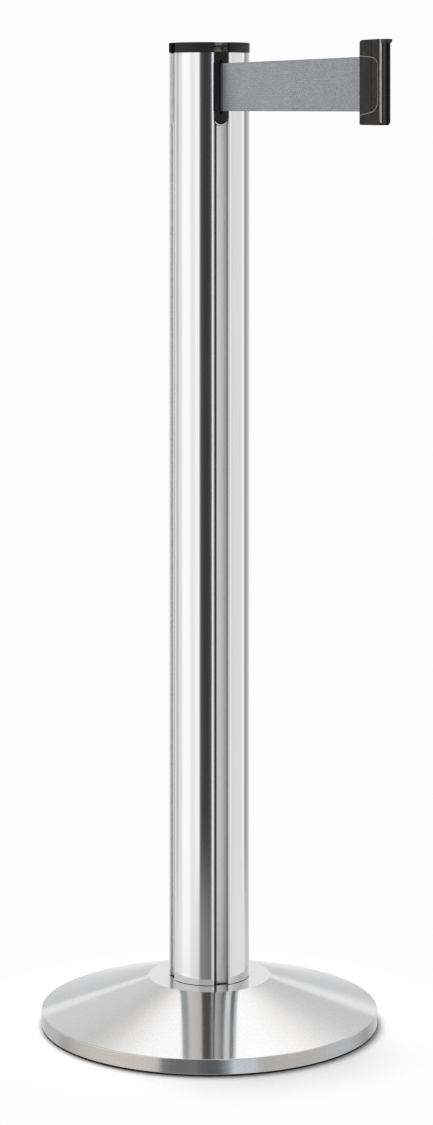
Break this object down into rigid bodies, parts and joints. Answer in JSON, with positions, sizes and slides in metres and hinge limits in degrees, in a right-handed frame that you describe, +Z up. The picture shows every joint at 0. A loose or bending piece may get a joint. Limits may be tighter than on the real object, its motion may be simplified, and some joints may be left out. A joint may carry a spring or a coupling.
{
  "type": "retractable belt stanchion",
  "caption": "Freestanding queue post with a weighted round base, a polished slotted post, and a sprung head cassette that pays out a webbing belt ending in a T-tongue clip.",
  "frame": {"origin": "centre of the base's footprint, on the floor", "axes": "+Z up the post; +X is the way the belt leaves the head; +Y completes the right-handed frame"},
  "size_m": [0.6543, 0.3302, 0.9652],
  "materials": {
    "rubber_black": "matte moulded",
    "polished_cover": "mirror polished sheet metal",
    "iron": "painted as-cast",
    "zinc_steel": "zinc plated",
    "polished_aluminium": "bright polished extrusion",
    "cast_aluminium": "as-cast with machined hub",
    "cap_plastic": "fine satin",
    "dark_steel": "black oxide",
    "satin_aluminium": "satin extruded",
    "insert_plastic": "satin moulded",
    "cassette_plastic": "moulded",
    "lining": "friction lining",
    "bronze": "sintered",
    "spring_steel": "blued strip",
    "webbing": "fine woven polyester, blue-grey",
    "reel_plastic": "moulded acetal",
    "roller_plastic": "moulded acetal",
    "clip_metal": "fine-texture dark coating",
    "plate_steel": "satin",
    "tongue_plastic": "satin moulded"
  },
  "bodies": {
    "post": {"floor_ring": "rubber_black", "base_cover": "polished_cover", "base_weight": "iron", "clamp_washer": "zinc_steel", "lock_washer": "zinc_steel", "tie_bolt": "zinc_steel", "post_seat_gasket": "rubber_black", "post_tube": "polished_aluminium", "post_foot_plate": "cast_aluminium", "foot_screws": "zinc_steel", "head_cap": "cap_plastic", "cap_screws": "dark_steel", "belt_exit_guide": "insert_plastic", "receiver_rear": "satin_aluminium", "receiver_left": "satin_aluminium", "receiver_right": "satin_aluminium", "cassette_body": "cassette_plastic", "cassette_top_plate": "cassette_plastic", "spring_case": "cassette_plastic", "cassette_tie_screws": "zinc_steel", "brake_case": "cassette_plastic", "brake_lining": "lining", "upper_bush": "bronze", "middle_bush": "bronze", "lower_bush": "bronze", "guide_pins": "zinc_steel", "power_spring": "spring_steel", "belt_inner_run": "webbing"},
    "reel": {"spindle": "zinc_steel", "spindle_clip": "spring_steel", "drive_pin": "zinc_steel", "reel_drum": "reel_plastic", "reel_top_flange": "reel_plastic", "belt_anchor_rod": "zinc_steel", "belt_roll": "webbing", "brake_carrier": "reel_plastic", "brake_shoe_pins": "zinc_steel"},
    "brake_shoe_a": {"brake_shoe_a": "bronze"},
    "brake_shoe_b": {"brake_shoe_b": "bronze"},
    "guide_roller_left": {"guide_roller_left": "roller_plastic"},
    "guide_roller_right": {"guide_roller_right": "roller_plastic"},
    "belt_lead": {"belt_lead": "webbing"},
    "belt_end": {"belt_strip": "webbing", "clip_body": "clip_metal", "clip_cover": "clip_metal", "clip_screws": "dark_steel", "clip_anchor_bar": "zinc_steel", "clip_face_plate": "plate_steel", "clip_tongue": "tongue_plastic"}
  },
  "joints": [
    {"name": "belt_swing", "type": "hinge", "parent": "post", "child": "belt_lead", "pos_m": [0.0395, 0, 0.92125], "axis": [0, 0, 1], "range_deg": [-40, 40]},
    {"name": "belt_extend", "type": "slide", "parent": "belt_lead", "child": "belt_end", "axis": [1, 0, 0], "range_m": [-0.3875, 1.744], "deforming": ["belt_strip"]},
    {"name": "reel_spin", "type": "hinge", "parent": "post", "child": "reel", "pos_m": [0, 0, 0.92125], "axis": [0, 0, 1], "range_deg": [-4760, 1080], "deforming": ["power_spring"]},
    {"name": "guide_left_spin", "type": "hinge", "parent": "post", "child": "guide_roller_left", "pos_m": [0.0272, 0.00275, 0.92125], "axis": [0, 0, 1], "continuous": true},
    {"name": "guide_right_spin", "type": "hinge", "parent": "post", "child": "guide_roller_right", "pos_m": [0.0272, -0.00275, 0.92125], "axis": [0, 0, 1], "continuous": true},
    {"name": "shoe_a_swing", "type": "hinge", "parent": "reel", "child": "brake_shoe_a", "pos_m": [0.01256, 0.01054, 0.8619], "axis": [0, 0, -1], "range_deg": [0, 5.3]},
    {"name": "shoe_b_swing", "type": "hinge", "parent": "reel", "child": "brake_shoe_b", "pos_m": [-0.01256, -0.01054, 0.8619], "axis": [0, 0, -1], "range_deg": [0, 5.3]}
  ],
  "couplings": [
    {"joint": "reel_spin", "follows": "belt_extend", "rad_per_m": -47.4},
    {"joint": "guide_left_spin", "follows": "belt_extend", "rad_per_m": 416.7},
    {"joint": "guide_right_spin", "follows": "belt_extend", "rad_per_m": -416.7},
    {"joint": "shoe_b_swing", "follows": "shoe_a_swing", "ratio": 1}
  ]
}
